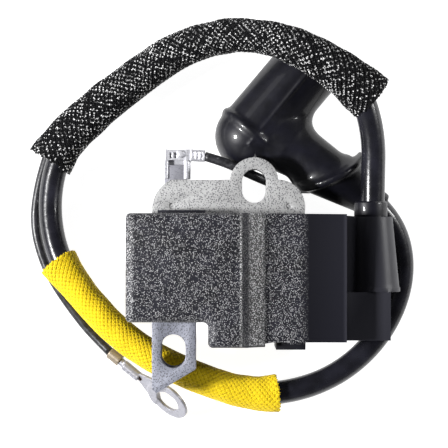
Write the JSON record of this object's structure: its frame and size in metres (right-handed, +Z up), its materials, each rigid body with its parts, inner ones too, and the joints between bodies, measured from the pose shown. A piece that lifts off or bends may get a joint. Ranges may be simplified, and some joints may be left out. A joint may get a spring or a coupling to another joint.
{
  "type": "ignition coil",
  "caption": "Small-engine ignition coil: potted module on a laminated U core, with a plug lead in protective sleeves, a rubber elbow plug boot and a stop wire.",
  "frame": {"origin": "on the surface the module lies on, under the middle of the module's own box, leads left out", "axes": "+Z up from that surface through the module's thickness, +Y from the lower core leg towards the mounting ear, +X towards the lead tower"},
  "size_m": [0.0828, 0.0855, 0.0295],
  "materials": {
    "housing_plastic": "fine-grained moulded black plastic",
    "epoxy": "poured black epoxy",
    "core_steel": "grainy lamination steel",
    "bobbin_plastic": "natural nylon",
    "copper_wire": "enamelled copper",
    "board_laminate": "glass-epoxy board",
    "capacitor_case": "dipped film capacitor",
    "component_black": "moulded component body",
    "brass_strip": "stamped brass",
    "tinned_metal": "bright tin plate",
    "spring_steel": "spring wire",
    "wire_jacket": "black vinyl",
    "lead_jacket": "glossy black silicone",
    "boot_rubber": "moulded black rubber",
    "black_braid": "black and grey braided fibre",
    "yellow_braid": "varnished yellow braid"
  },
  "bodies": {
    "root": {"housing_shell": "housing_plastic", "potting_resin": "epoxy", "core_laminations": "core_steel", "primary_bobbin": "bobbin_plastic", "primary_winding": "copper_wire", "secondary_bobbin": "bobbin_plastic", "secondary_winding": "copper_wire", "charge_coil_bobbin": "bobbin_plastic", "charge_coil_winding": "copper_wire", "circuit_board": "board_laminate", "storage_capacitor": "capacitor_case", "thyristor": "component_black", "rectifier_diodes": "component_black", "resistors": "component_black", "control_chip": "component_black", "ground_strap": "brass_strip", "stop_link": "brass_strip", "ht_bus": "brass_strip", "ht_contact_pin": "brass_strip", "stop_tab": "tinned_metal", "ring_terminal": "tinned_metal", "stop_wire": "wire_jacket", "ht_lead": "lead_jacket", "lead_grommet": "boot_rubber", "black_sleeve": "black_braid", "yellow_sleeve": "yellow_braid", "boot_shell": "boot_rubber", "boot_terminal": "brass_strip", "boot_contact_spring": "spring_steel"},
    "receptacle": {"flag_receptacle": "tinned_metal"}
  },
  "joints": [
    {"name": "receptacle_slide", "type": "slide", "parent": "root", "child": "receptacle", "axis": [0, 1, 0], "range_m": [0, 0.006]}
  ]
}
